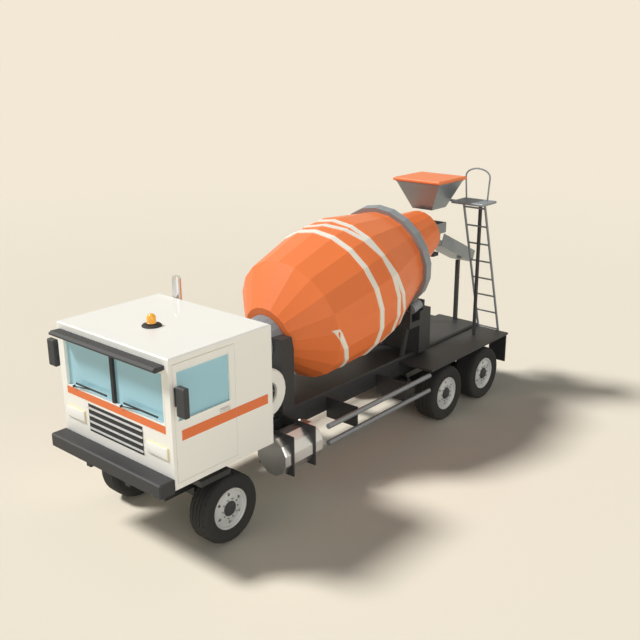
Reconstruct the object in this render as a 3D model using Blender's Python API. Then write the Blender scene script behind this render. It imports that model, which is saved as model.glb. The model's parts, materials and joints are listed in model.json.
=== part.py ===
"""Three-axle concrete mixer truck with a forward cab, as separate closed solids.

Metres, +Z up, the front towards -Y and the truck's left side towards +X.
The origin lies on the ground, in the middle of the truck's length and width.
"""
import math

import bmesh
import bpy
from mathutils import Matrix, Vector

# ---- driving dimensions -------------------------------------------------
LENGTH = 9.44            # front of bumper to end of chute
BUMPER_DEPTH = 0.27      # how far the bumper stands ahead of the cab
GAP = 0.0003             # between pieces that touch
RUN = 0.005              # between pieces that move past each other

CAB_HALF = 1.25
CAB_LENGTH = 1.895
CAB_LOW, CAB_TOP = 1.281, 3.152
ROOF_DEPTH = 0.09
CAB_WALL = 0.08
DOOR_FRONT, DOOR_REAR = 0.060, 1.158
DOOR_LOW, DOOR_HIGH = 1.372, 3.055
WINDOW = (0.115, 1.060, 2.245, 2.950)       # front, rear, low, high of a door's window
SCREEN = (1.12, 2.190, 2.940)               # half width, low, high of the windscreen
GLASS_THICK = 0.010

RAIL_IN, RAIL_OUT = 0.40, 0.50              # a chassis rail's inner and outer face
RAIL_LOW, RAIL_HIGH = 0.88, 1.16
RAIL_FRONT, RAIL_REAR = 0.30, 8.98
SUB_TOP = 1.23                              # top of the drum's sub-frame

TYRE_RADIUS = 0.536
RIM_RADIUS = 0.31
TYRE_SIDES, RIM_SIDES = 40, 24
FRONT_WIDTH, REAR_WIDTH = 0.36, 0.44
FRONT_OUTER, REAR_OUTER = 1.229, 1.271      # outer face of the tyres, from the middle
AXLES = (1.022, 6.701, 8.088)               # behind the cab's front face
KINGPIN = 0.80

DRUM_TILT = math.radians(13.0)
DRUM_FOOT = (3.043, 2.379)                  # a point on the drum's axis: aft, height
DRUM_SIDES = 20
DRUM_WALL = 0.010
RING = (3.250, 3.405, 0.9303, 1.015)        # along the axis from, to; inner, outer radius
ROLLER_RADIUS, ROLLER_SIDE = 0.10, 0.55

TANK_CENTRE, TANK_RADIUS = (2.37, 1.76), 0.41           # water tank: aft, height
GUARD, CARRIERS = (1.22, 0.045), (4.00, 5.42)    # rails' side and radius; carriers' places
FUEL = (0.90, 0.82, 0.332, 2.20, 3.08)       # fuel tank: side, height, radius, from, to
LID_HINGE = 7.30
CHUTE_PIVOT, CHUTE_SLOPE = 7.93, math.radians(24.8)


def aft(distance):
    """Y of a place this far behind the cab's front face."""
    return -LENGTH / 2 + BUMPER_DEPTH + distance


# ---- materials -----------------------------------------------------------
def material(name, colour, roughness, metallic=0.0):
    made = bpy.data.materials.new(name)
    made.use_nodes = True
    shader = made.node_tree.nodes["Principled BSDF"]
    shader.inputs["Base Color"].default_value = (*colour, 1.0)
    shader.inputs["Roughness"].default_value = roughness
    shader.inputs["Metallic"].default_value = metallic
    return made


def make_materials():
    table = (
        # name, colour, roughness, metallic
        ("cab_paint", (0.90, 0.88, 0.80), 0.40, 0.0),
        ("drum_paint", (0.85, 0.25, 0.07), 0.45, 0.0),
        ("frame_paint", (0.05, 0.05, 0.05), 0.55, 0.0),
        ("steel_grey", (0.26, 0.30, 0.32), 0.45, 0.3),
        ("tyre_rubber", (0.03, 0.03, 0.03), 0.85, 0.0),
        ("rim_paint", (0.42, 0.44, 0.44), 0.40, 0.4),
        ("aluminium", (0.62, 0.64, 0.68), 0.30, 0.9),
        ("chrome", (0.75, 0.75, 0.76), 0.12, 1.0),
        ("glass", (0.40, 0.66, 0.75), 0.10, 0.0),
        ("trim_plastic", (0.06, 0.06, 0.06), 0.60, 0.0),
        ("amber_plastic", (0.95, 0.45, 0.05), 0.25, 0.0),
        ("seat_fabric", (0.09, 0.09, 0.10), 0.90, 0.0),
    )
    return {name: material(name, colour, rough, metal) for name, colour, rough, metal in table}


# ---- shapes ---------------------------------------------------------------
def finish(name, mesh, finish_name, origin=(0, 0, 0), sharp=None):
    """Turns a bmesh in world coordinates into a named object with its origin at a place."""
    bmesh.ops.recalc_face_normals(mesh, faces=mesh.faces)
    if mesh.calc_volume(signed=True) < 0:
        bmesh.ops.reverse_faces(mesh, faces=mesh.faces)
    mesh.transform(Matrix.Translation(-Vector(origin)))
    data = bpy.data.meshes.new(name)
    mesh.to_mesh(data)
    mesh.free()
    made = bpy.data.objects.new(name, data)
    made.location = origin
    bpy.context.collection.objects.link(made)
    if finish_name:
        data.materials.append(MATERIALS[finish_name])
    if sharp:
        data.shade_smooth()
        data.set_sharp_from_angle(angle=math.radians(sharp))
    return made


def block(name, x, y, z, finish_name=None, bevel=0.0, origin=(0, 0, 0), upper=False):
    """A box from pairs of limits; a bevel cuts off all its edges, or only its upper ones."""
    mesh = bmesh.new()
    bmesh.ops.create_cube(mesh, size=1.0)
    size = [high - low for low, high in (x, y, z)]
    middle = [(high + low) / 2 for low, high in (x, y, z)]
    bmesh.ops.scale(mesh, vec=size, verts=mesh.verts)
    bmesh.ops.translate(mesh, vec=middle, verts=mesh.verts)
    if bevel:
        edges = [edge for edge in mesh.edges
                 if not upper or all(vert.co.z > middle[2] for vert in edge.verts)]
        bmesh.ops.bevel(mesh, geom=edges, offset=bevel, segments=1, profile=0.5,
                        affect='EDGES', material=-1)
    return finish(name, mesh, finish_name, origin)


def axis_frame(place, direction):
    """Matrix that puts local Z along a direction, with local X as near world X as it can be."""
    along = Vector(direction).normalized()
    side = Vector((1, 0, 0)) if abs(along.x) < 0.9 else Vector((0, 0, -1))
    side = (side - along * side.dot(along)).normalized()
    third = along.cross(side)
    turn = Matrix((side, third, along)).transposed().to_4x4()
    return Matrix.Translation(Vector(place)) @ turn


def turned(name, profile, place, direction, sides, finish_name=None, phase=0.0,
           origin=(0, 0, 0), sharp=None):
    """Turns a profile of (radius, along) points, closed back to its start, about an axis."""
    mesh = bmesh.new()
    points = [mesh.verts.new((radius, 0, along)) for radius, along in profile]
    edges = [mesh.edges.new(pair) for pair in zip(points, points[1:])]
    if profile[0][0] > 0 or profile[-1][0] > 0:
        edges.append(mesh.edges.new((points[-1], points[0])))
    bmesh.ops.spin(mesh, geom=points + edges, axis=(0, 0, 1), cent=(0, 0, 0),
                   angle=2 * math.pi, steps=sides, use_merge=True)
    bmesh.ops.remove_doubles(mesh, verts=mesh.verts, dist=0.00001)
    mesh.transform(axis_frame(place, direction) @ Matrix.Rotation(phase, 4, 'Z'))
    return finish(name, mesh, finish_name, origin, sharp)


def rod(name, start, end, radius, sides=12, finish_name=None, phase=0.0, origin=(0, 0, 0)):
    along = Vector(end) - Vector(start)
    outline = ((0, 0), (radius, 0), (radius, along.length), (0, along.length))
    return turned(name, outline, start, along, sides, finish_name, phase, origin)


def extrusion(name, outline, plane, start, end, finish_name=None, origin=(0, 0, 0)):
    """Pulls an outline from one place to another; plane turns its pairs into points."""
    mesh = bmesh.new()
    face = mesh.faces.new([mesh.verts.new(plane(*pair)) for pair in outline])
    bmesh.ops.translate(mesh, vec=start, verts=mesh.verts)
    pulled = bmesh.ops.extrude_face_region(mesh, geom=[face])["geom"]
    moved = [item for item in pulled if isinstance(item, bmesh.types.BMVert)]
    bmesh.ops.translate(mesh, vec=Vector(end) - Vector(start), verts=moved)
    return finish(name, mesh, finish_name, origin)


def tube(name, path, radius, sides=10, finish_name=None):
    """A round bar along points that lie in one upright plane across the truck."""
    mesh = bmesh.new()
    points = [Vector(point) for point in path]
    rings = []
    for index, point in enumerate(points):
        before = points[max(index - 1, 0)]
        after = points[min(index + 1, len(points) - 1)]
        along = (after - before).normalized()
        across = Vector((0, 1, 0))
        normal = along.cross(across)
        turns = [2 * math.pi * step / sides for step in range(sides)]
        rings.append([mesh.verts.new(point + radius * (math.cos(turn) * across
                                                       + math.sin(turn) * normal))
                      for turn in turns])
    for near, far in zip(rings, rings[1:]):
        for step in range(sides):
            after = (step + 1) % sides
            mesh.faces.new((near[step], near[after], far[after], far[step]))
    mesh.faces.new(rings[0])
    mesh.faces.new(rings[-1])
    return finish(name, mesh, finish_name)


def combine(target, operation, tools):
    """Boolean modifiers that join helper shapes to an object or cut them out of it."""
    for tool in tools:
        modifier = target.modifiers.new(operation.lower(), 'BOOLEAN')
        modifier.operation = operation
        modifier.solver = 'EXACT'
        modifier.object = tool
        tool.hide_render = True
        tool.display_type = 'WIRE'
    return target


def join(target, *tools):
    return combine(target, 'UNION', tools)


def cut(target, *tools):
    return combine(target, 'DIFFERENCE', tools)


def joint_empty(name, place, *pieces):
    """An empty on a joint's axis that carries the pieces of a moving body."""
    empty = bpy.data.objects.new(name, None)
    empty.location = place
    bpy.context.collection.objects.link(empty)
    for piece in pieces:
        piece.parent = empty
        piece.location = Vector(piece.location) - Vector(place)
    return empty


def drum_point(along, side=0.0, down=0.0):
    """A place this far along the drum's axis, to one side of it and squarely below it."""
    y = DRUM_FOOT[0] + along * math.cos(DRUM_TILT) + down * math.sin(DRUM_TILT)
    z = DRUM_FOOT[1] + along * math.sin(DRUM_TILT) - down * math.cos(DRUM_TILT)
    return Vector((side, aft(y), z))


DRUM_AXIS = Vector((0, math.cos(DRUM_TILT), math.sin(DRUM_TILT)))


# ---- frame ----------------------------------------------------------------
def build_chassis():
    rails = []
    for side in (-1, 1):
        x = sorted((side * RAIL_IN, side * RAIL_OUT))
        rails.append(block("rail", x, (aft(RAIL_FRONT), aft(RAIL_REAR)), (RAIL_LOW, RAIL_HIGH)))
        rails.append(block("bumper_arm", x, (aft(-0.20), aft(0.60)), (1.15, 1.2447)))
        guard = sorted((side * 0.45, side * 1.20))
        rails.append(block("guard_arm", guard, (aft(0.49), aft(1.05)), (1.10, 1.185)))
        rails.append(block("cab_rest", x, (aft(1.60), aft(1.75)), (1.15, CAB_LOW - GAP)))
        rails.append(block("tank_saddle", x, (aft(2.22), aft(2.52)), (1.15, 1.52)))
    frame = block("chassis_frame", (-0.45, 0.45), (aft(0.31), aft(0.41)), (1.00, 1.12),
                  "frame_paint")
    crossings = [block("crossing", (-0.45, 0.45), (aft(place), aft(place + 0.10)), (1.00, 1.12))
                 for place in (1.90, 3.60, 5.30, 8.80)]
    join(frame, *rails, *crossings)
    seat = rod("tank_seat", (-1, aft(TANK_CENTRE[0]), TANK_CENTRE[1]),
               (1, aft(TANK_CENTRE[0]), TANK_CENTRE[1]), TANK_RADIUS + 0.001, 24)
    cut(frame, seat)

    outline = ((-0.50, RAIL_HIGH + GAP), (0.50, RAIL_HIGH + GAP), (0.50, SUB_TOP - 0.025),
               (0.475, SUB_TOP), (-0.475, SUB_TOP), (-0.50, SUB_TOP - 0.025))
    extrusion("sub_frame", outline, lambda x, z: (x, 0, z),
              (0, aft(2.80), 0), (0, aft(9.03), 0), "frame_paint")
    block("bumper", (-1.265, 1.265), (aft(-BUMPER_DEPTH), aft(-GAP)), (1.245, 1.460),
          "frame_paint", bevel=0.02)
    block("engine_block", (-0.33, 0.33), (aft(0.46), aft(1.50)), (0.78, 1.22), "steel_grey")


def build_fenders():
    for name, side in (("left", 1), ("right", -1)):
        plate = block(f"fender_{name}", sorted((side * (0.50 + GAP), side * 1.25)),
                      (aft(6.15), aft(9.03)), (1.125, 1.170), "frame_paint", bevel=0.008)
        flap = block("flap", sorted((side * 0.83, side * 1.22)), (aft(8.995), aft(9.015)),
                     (0.525, 1.14))
        join(plate, flap)


def build_pedestals():
    front = ((2.82, SUB_TOP + GAP), (3.11, SUB_TOP + GAP), (3.11, 2.28), (3.06, 2.50), (2.82, 2.50))
    pedestal = extrusion("front_pedestal", front, lambda y, z: (0, aft(y), z),
                         (-0.57, 0, 0), (0.57, 0, 0), "frame_paint")
    cut(pedestal, rod("gearbox_seat", drum_point(-0.26), drum_point(0.3), 0.382, DRUM_SIDES))
    rod("drum_gearbox", drum_point(-0.25), drum_point(0.06), 0.380, DRUM_SIDES, "steel_grey")

    rear = block("rear_pedestal", (-0.62, 0.62), (aft(6.63), aft(7.00)), (SUB_TOP + GAP, 2.09),
                 "frame_paint")
    parts = [block("shelf", (-0.62, 0.62), (aft(6.30), aft(6.66)), (1.80, 1.92))]
    cutters = []
    for side in (-1, 1):
        x = sorted((side * 0.46, side * 0.62))
        parts.append(block("front_lug", x, (aft(6.31), aft(6.36)), (1.90, 2.26)))
        parts.append(block("rear_lug", x, (aft(6.73), aft(6.78)), (2.05, 2.285)))
        brace = ((6.24, SUB_TOP + GAP), (6.34, SUB_TOP + GAP), (6.50, 1.82), (6.40, 1.82))
        parts.append(extrusion("brace", brace, lambda y, z: (0, aft(y), z),
                               (min(side * 0.44, side * 0.49), 0, 0),
                               (max(side * 0.44, side * 0.49), 0, 0)))
        cutters.append(rod("pin_bore", drum_point(3.0, side * ROLLER_SIDE, roller_drop()),
                           drum_point(3.8, side * ROLLER_SIDE, roller_drop()), 0.036))
    join(rear, *parts)
    cut(rear, *cutters)


def roller_drop():
    """How far a roller's axis lies below the drum's, so that it just clears the ring."""
    reach = RING[3] + ROLLER_RADIUS + RUN
    return math.sqrt(reach ** 2 - ROLLER_SIDE ** 2)


def build_rollers():
    for name, side in (("left", 1), ("right", -1)):
        outline = ((0, 0), (0.03, 0), (0.03, 0.08), (ROLLER_RADIUS, 0.08), (ROLLER_RADIUS, 0.34),
                   (0.03, 0.34), (0.03, 0.45), (0, 0.45))
        start = drum_point(3.16, side * ROLLER_SIDE, roller_drop())
        turned(f"roller_{name}", outline, start, DRUM_AXIS, 20, "steel_grey", origin=start)


# ---- axles and wheels ------------------------------------------------------
def build_front_axle():
    y = aft(AXLES[0])
    axle = block("front_axle", (-0.765, 0.765), (y - 0.035, y + 0.035), (0.48, 0.59),
                 "frame_paint")
    parts = []
    for side in (-1, 1):
        boss = ((0.0255, 0.456), (0.050, 0.456), (0.050, 0.614), (0.0255, 0.614))
        parts.append(turned("boss", boss, (side * KINGPIN, y, 0), (0, 0, 1), 16))
        seat = sorted((side * 0.40, side * 0.50))
        spring = sorted((side * 0.41, side * 0.49))
        hanger = sorted((side * 0.42, side * 0.48))
        parts.append(block("seat", seat, (y - 0.08, y + 0.08), (0.57, 0.67)))
        parts.append(block("spring", spring, (aft(0.40), aft(1.62)), (0.66, 0.73)))
        for place in (0.41, 1.53):
            parts.append(block("hanger", hanger, (aft(place), aft(place + 0.08)),
                               (0.72, RAIL_LOW - GAP)))
    join(axle, *parts)


def build_knuckles():
    y = aft(AXLES[0])
    for name, side in (("left", 1), ("right", -1)):
        x = side * KINGPIN
        knuckle = block(f"knuckle_{name}", sorted((side * 0.862, side * 0.90)),
                        (y - 0.05, y + 0.05), (0.36, 0.71), "steel_grey", origin=(x, y, 0))
        ear = sorted((side * 0.75, side * 0.88))
        join(knuckle,
             block("low_ear", ear, (y - 0.05, y + 0.05), (0.36, 0.450)),
             block("high_ear", ear, (y - 0.05, y + 0.05), (0.620, 0.71)),
             rod("kingpin", (x, y, 0.40), (x, y, 0.66), 0.02, 16),
             rod("spindle", (side * 0.88, y, TYRE_RADIUS),
                 (side * (FRONT_OUTER - 0.10), y, TYRE_RADIUS), 0.05, 16))


def build_rear_axles():
    middle = (AXLES[1] + AXLES[2]) / 2
    reach, housing, bulge = REAR_OUTER - 0.10, 0.84, 0.16
    half = ((0.200, bulge), (0.080, bulge), (0.080, housing), (0.050, housing), (0.050, reach),
            (0, reach))
    outline = [(radius, -along) for radius, along in reversed(half)] + list(half)
    whole, other = [turned(name, outline, (0, aft(place), TYRE_RADIUS), (1, 0, 0), 16, paint)
                    for name, place, paint in (("rear_axles", AXLES[1], "frame_paint"),
                                               ("second_axle", AXLES[2], None))]
    parts = [other,
             rod("shaft", (0, aft(1.51), 0.95), (0, aft(AXLES[1]), 0.60), 0.045),
             rod("link_shaft", (0, aft(AXLES[1]), 0.55), (0, aft(AXLES[2]), 0.55), 0.040),
             rod("trunnion", (-0.52, aft(middle), 0.625), (0.52, aft(middle), 0.625), 0.055, 16)]
    for side in (-1, 1):
        beam = sorted((side * 0.41, side * 0.49))
        bracket = sorted((side * 0.42, side * 0.48))
        parts.append(block("beam", beam, (aft(6.58), aft(8.21)), (0.575, 0.675)))
        parts.append(block("bracket", bracket, (aft(middle - 0.15), aft(middle + 0.15)),
                           (0.66, RAIL_LOW - GAP)))
    join(whole, *parts)


def build_wheels():
    """Six wheels: a rim with its hub in one piece, and the tyre around it."""
    table = [("front", AXLES[0], FRONT_OUTER, FRONT_WIDTH),
             ("middle", AXLES[1], REAR_OUTER, REAR_WIDTH),
             ("rear", AXLES[2], REAR_OUTER, REAR_WIDTH)]
    flat = math.pi / TYRE_SIDES                         # a flat of the tyre lies on the ground
    tread = TYRE_RADIUS / math.cos(flat)
    bead = RIM_RADIUS / math.cos(math.pi / RIM_SIDES) + 0.001
    for place_name, place, outer, width in table:
        tyre_outline = ((bead, 0.03), (0.42, 0.006), (0.48, 0.0), (0.515, 0.012), (tread, 0.05),
                        (tread, width - 0.05), (0.515, width - 0.012), (0.48, width),
                        (bead, width - 0.03))
        rim_outline = ((0, 0.01), (0.12, 0.01), (0.12, 0.035), (RIM_RADIUS, 0.035),
                       (RIM_RADIUS, width - 0.02), (0.285, width - 0.02), (0.285, 0.075),
                       (0.13, 0.075), (0.13, 0.205), (0.058, 0.205), (0.058, 0.085), (0, 0.085))
        for side_name, side in (("left", 1), ("right", -1)):
            face = (side * outer, aft(place), TYRE_RADIUS)
            inwards = (-side, 0, 0)
            centre = (side * (outer - width / 2), aft(place), TYRE_RADIUS)
            name = f"{place_name}_{side_name}"
            tyre = turned(f"tyre_{name}", tyre_outline, face, inwards, TYRE_SIDES, "tyre_rubber",
                          phase=flat, origin=centre, sharp=40)
            rim = turned(f"rim_{name}", rim_outline, face, inwards, RIM_SIDES, "rim_paint",
                         origin=centre, sharp=40)
            joint_empty(f"wheel_{name}_axis", centre, tyre, rim)


# ---- drum -------------------------------------------------------------------
def shell(name, outside, closed_front=False):
    """A length of drum wall from (radius, along) stations of its outer face."""
    inside = [(radius - DRUM_WALL, along) for radius, along in outside]
    if closed_front:
        inside[0] = (outside[0][0] - DRUM_WALL, outside[0][1] + DRUM_WALL)
        outline = [(0, outside[0][1])] + outside + inside[::-1] + [(0, inside[0][1])]
    else:
        outline = outside + inside[::-1]
    return turned(name, outline, drum_point(0), DRUM_AXIS, DRUM_SIDES, "drum_paint",
                  origin=drum_point(0))


def build_drum():
    front = shell("drum_front", [(0.50, 0.07), (1.10, 0.61), (1.25, 1.69)], True)
    belly = shell("drum_belly", [(1.25, 1.69 + GAP), (1.22, 2.25), (0.93, 3.22), (0.93, 3.41)])
    neck = shell("drum_neck", [(0.93, 3.41 + GAP), (0.60, 3.90), (0.446, 4.57)])
    near, far, inner, outer = RING
    ring = turned("drum_ring", ((inner, near), (outer, near), (outer, far), (inner, far)),
                  drum_point(0), DRUM_AXIS, DRUM_SIDES, "steel_grey", origin=drum_point(0))
    joint_empty("drum_axis", drum_point(0), front, belly, neck, ring)


# ---- hopper, collector and chute ---------------------------------------------
def build_hopper():
    wall, low, high = 0.012, 3.855, 4.400
    levels = ((low, 0.230, 7.510, 8.005), (high, 0.500, 7.310, 8.180))

    def funnel(name, inset, overshoot, finish_name=None):
        mesh = bmesh.new()
        rings = []
        extra = overshoot / (high - low)
        for share in (-extra, 1 + extra):
            z, half, front, rear = [near + (far - near) * share for near, far in zip(*levels)]
            half, front, rear = half - inset, front + inset, rear - inset
            corners = ((-half, front), (half, front), (half, rear), (-half, rear))
            rings.append([mesh.verts.new((x, aft(y), z)) for x, y in corners])
        edges = [mesh.edges.new((ring[step], ring[(step + 1) % 4]))
                 for ring in rings for step in range(4)]
        bmesh.ops.bridge_loops(mesh, edges=edges)
        for ring in rings:
            mesh.faces.new(ring)
        return finish(name, mesh, finish_name)

    cut(funnel("hopper", 0, 0, "steel_grey"), funnel("hopper_inside", wall, 0.05))
    block("hopper_lid", (-0.545, 0.545), (aft(7.25), aft(8.25)), (high + RUN, 4.465),
          "drum_paint", bevel=0.018, origin=(0, aft(LID_HINGE), high + RUN))


def build_chute_frame():
    """The post that holds collector and chute, on the right behind the drum."""
    post = (-0.58, 8.25)
    frame = block("chute_frame", (post[0] - 0.03, post[0] + 0.03),
                  (aft(post[1] - 0.03), aft(post[1] + 0.03)), (1.170 + GAP, 3.49), "frame_paint")
    join(frame,
         block("high_arm", (-0.60, -0.55), (aft(7.90), aft(8.25)), (3.43, 3.48)),
         block("low_arm", (-0.60, -0.54), (aft(7.85), aft(8.25)), (2.84, 2.91)),
         block("pivot_arm", (-0.58, 0.09), (aft(7.84), aft(8.02)), (2.84, 2.91)))
    cut(frame, rod("pivot_bore", (0, aft(CHUTE_PIVOT), 2.7), (0, aft(CHUTE_PIVOT), 3.1), 0.047, 20))


def build_collector():
    """An open tray below the hopper and the drum's mouth, with an oval spout under it."""
    tray = block("collector", (-0.25, 0.25), (aft(7.64), aft(8.02)), (3.345, 3.55), "steel_grey")
    spout = rod("spout", (0, aft(7.86), 3.15), (0, aft(7.86), 3.35), 0.157, 16)
    spout.scale.x = 1.27
    room = rod("spout_room", (0, aft(7.86), 3.10), (0, aft(7.86), 3.40), 0.145, 16)
    room.scale.x = 1.30
    strap = block("strap", (-0.55 + GAP, -0.24), (aft(7.90), aft(7.96)), (3.43, 3.48))
    join(tray, spout, strap)
    cut(tray, room,
        block("tray_room", (-0.238, 0.238), (aft(7.652), aft(8.008)), (3.357, 3.60)))


def build_chute():
    wall, half, height, end = 0.012, 0.270, 0.253, 9.17
    length = 1.36
    down = Vector((0, math.cos(CHUTE_SLOPE), -math.sin(CHUTE_SLOPE)))
    up = Vector((0, math.sin(CHUTE_SLOPE), math.cos(CHUTE_SLOPE)))
    far_top = Vector((0, aft(end), 0))
    far_top.z = 2.760
    foot = far_top - up * height - down * length
    outline = ((-half, 0), (half, 0), (half, height), (half - wall, height), (half - wall, wall),
               (-half + wall, wall), (-half + wall, height), (-half, height))
    pivot = (0, aft(CHUTE_PIVOT), 0)
    chute = extrusion("chute", outline, lambda x, rise: Vector((x, 0, 0)) + up * rise,
                      foot, foot + down * length, "steel_grey", origin=pivot)
    share = (CHUTE_PIVOT - 7.93 + 0.135) / math.cos(CHUTE_SLOPE)
    floor = foot + down * share
    pin = rod("chute_pin", (0, aft(CHUTE_PIVOT), 2.82), (0, aft(CHUTE_PIVOT), floor.z + 0.004),
              0.040, 16)
    join(chute, pin)
    block("chute_post", (-0.036, 0.036), (aft(8.894), aft(8.966)), (SUB_TOP + GAP, 2.560),
          "frame_paint")


# ---- ladder and platform ---------------------------------------------------------
def build_ladder():
    foot, head = Vector((0, aft(9.10), 1.12)), Vector((0, aft(8.25), 3.94))
    stiles = (0.49, 0.97)
    ladder, *other = [rod("ladder" if x == stiles[0] else "stile", foot + Vector((x, 0, 0)),
                          head + Vector((x, 0, 0)), 0.024, 10, "steel_grey") for x in stiles]
    first, last, count = 1.170, 3.860, 8
    for index in range(count):
        z = first + (last - first) * index / (count - 1)
        y = foot.y + (head.y - foot.y) * (z - foot.z) / (head.z - foot.z)
        other.append(rod("rung", (stiles[0], y, z), (stiles[1], y, z), 0.018, 8))
    for x in stiles:
        other.append(block("lug", (x - 0.02, x + 0.02), (aft(9.03 + GAP), aft(9.10)),
                           (1.130, 1.160)))
    join(ladder, *other)


def build_platform():
    plate = block("platform", (0.36, 1.08), (aft(7.98), aft(8.52)), (3.95, 4.00), "steel_grey",
                  bevel=0.012)
    post = (0.76, aft(8.448))                       # between two of the ladder's rungs
    rod("platform_post", (*post, 1.170 + GAP), (*post, 3.95 - GAP), 0.037, 12, "frame_paint")
    beam = block("hopper_beam", (-0.20, 0.40), (aft(8.13), aft(8.17)), (3.955, 3.995))
    lugs = [block("hopper_lug", x, (aft(8.0505), aft(8.15)), (3.955, 3.995))
            for x in ((-0.18, -0.14), (0.14, 0.18))]
    left, right, y, flare = 0.475, 0.945, 8.375, 0.035
    low, shoulder, top = 3.98, 4.46, 4.620
    middle, half = (left + right) / 2, (right - left) / 2 + flare
    path = [(left, aft(y), low)]
    steps = 10
    for step in range(steps + 1):
        turn = math.pi * step / steps
        path.append((middle - half * math.cos(turn), aft(y),
                     shoulder + (top - shoulder) * math.sin(turn)))
    path.append((right, aft(y), low))
    join(plate, beam, *lugs, tube("handrail", path, 0.017, 10))


# ---- tanks, guards and exhaust ------------------------------------------------------
def build_tanks():
    y, z = TANK_CENTRE
    half, recess, hollow = 0.70, 0.05, 0.200
    outline = ((0, recess), (hollow, recess), (hollow, 0), (TANK_RADIUS - 0.02, 0),
               (TANK_RADIUS, 0.02), (TANK_RADIUS, 2 * half - 0.02),
               (TANK_RADIUS - 0.02, 2 * half), (hollow, 2 * half), (hollow, 2 * half - recess),
               (0, 2 * half - recess))
    turned("water_tank", outline, (-half, aft(y), z), (1, 0, 0), 24, "cab_paint")

    side, height, radius, near, far = FUEL
    outline = ((0, near), (radius - 0.02, near), (radius, near + 0.02), (radius, far - 0.02),
               (radius - 0.02, far), (0, far))
    turned("fuel_tank", outline, (side, aft(0), height), (0, 1, 0), 12, "aluminium",
           phase=math.radians(15))
    cradle = block("tank_cradle", (RAIL_OUT + GAP, RAIL_OUT + 0.035), (aft(2.30), aft(2.90)),
                   (0.90, 1.10), "frame_paint")
    plates = [block("plate", (RAIL_OUT + GAP, 1.245), (aft(place), aft(place + 0.03)),
                    (0.53, 1.20)) for place in (2.33, 2.835)]
    join(cradle, *plates)
    cut(cradle, rod("tank_room", (side, aft(near - 0.1), height), (side, aft(far + 0.1), height),
                    radius + 0.0006, 12, phase=math.radians(15)))


def build_guards():
    reach, radius = GUARD
    for name, side in (("left", 1), ("right", -1)):
        x = side * reach
        rail, low_rail = [rod(label, (x, aft(3.20), z), (x, aft(6.12), z), radius, 12, "aluminium")
                          for label, z in ((f"side_guard_{name}", 1.06), ("low_rail", 0.78))]
        carriers = [block("carrier", sorted((side * (RAIL_OUT + GAP), x)),
                          (aft(place), aft(place + 0.03)), (0.76, 1.12)) for place in CARRIERS]
        join(rail, low_rail, *carriers)


def build_exhaust():
    x, y = -0.90, aft(1.985)
    outline = ((0, 0), (0.075, 0), (0.075, 2.46), (0.055, 2.50), (0, 2.515))
    stack = turned("exhaust_stack", outline, (x, y, 0.98), (0, 0, 1), 16, "chrome")
    muffler = rod("muffler", (x + 0.05, aft(1.92), 0.92), (x + 0.05, aft(2.80), 0.92), 0.21, 16)
    arm = block("arm", (-0.70, -RAIL_OUT - GAP), (aft(2.30), aft(2.40)), (0.92, 1.02))
    join(stack, muffler, arm)


# ---- cab --------------------------------------------------------------------------
def build_cab():
    shell_top = CAB_TOP - ROOF_DEPTH - GAP
    inner = CAB_HALF - CAB_WALL
    body = block("cab_shell", (-CAB_HALF, CAB_HALF), (aft(0), aft(CAB_LENGTH)),
                 (CAB_LOW, shell_top), "cab_paint")
    half, low, high = SCREEN
    cutters = [block("cabin", (-inner, inner), (aft(CAB_WALL), aft(CAB_LENGTH - CAB_WALL)),
                     (CAB_LOW + CAB_WALL, shell_top + 0.1)),
               block("screen_room", (-half, half), (aft(-0.1), aft(CAB_WALL + 0.05)), (low, high))]
    for side in (-1, 1):
        cutters.append(block("door_room", sorted((side * (inner - 0.05), side * (CAB_HALF + 0.1))),
                             (aft(DOOR_FRONT - RUN), aft(DOOR_REAR + RUN)),
                             (DOOR_LOW - RUN, shell_top + 0.1)))
    cut(body, *cutters)
    block("cab_roof", (-CAB_HALF, CAB_HALF), (aft(0), aft(CAB_LENGTH)),
          (CAB_TOP - ROOF_DEPTH, CAB_TOP), "cab_paint", bevel=0.018, upper=True)
    block("windscreen", (-half + GAP, half - GAP), (aft(0.045), aft(0.045 + GLASS_THICK)),
          (low + GAP, high - GAP), "glass")
    visor = ((-GAP, 2.995), (-0.15, 2.985), (-0.19, 3.010), (-0.19, 3.035), (-0.15, 3.060),
             (-GAP, 3.055))
    extrusion("sun_visor", visor, lambda y, z: (0, aft(y), z), (-1.17, 0, 0), (1.17, 0, 0),
              "trim_plastic")
    beacon = ((0, 0), (0.144, 0), (0.144, 0.022), (0.075, 0.034), (0.070, 0.034), (0.068, 0.14),
              (0.050, 0.175), (0, 0.190))
    turned("beacon", beacon, (0, aft(0.75), CAB_TOP + GAP), (0, 0, 1), 20, "amber_plastic")


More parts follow.
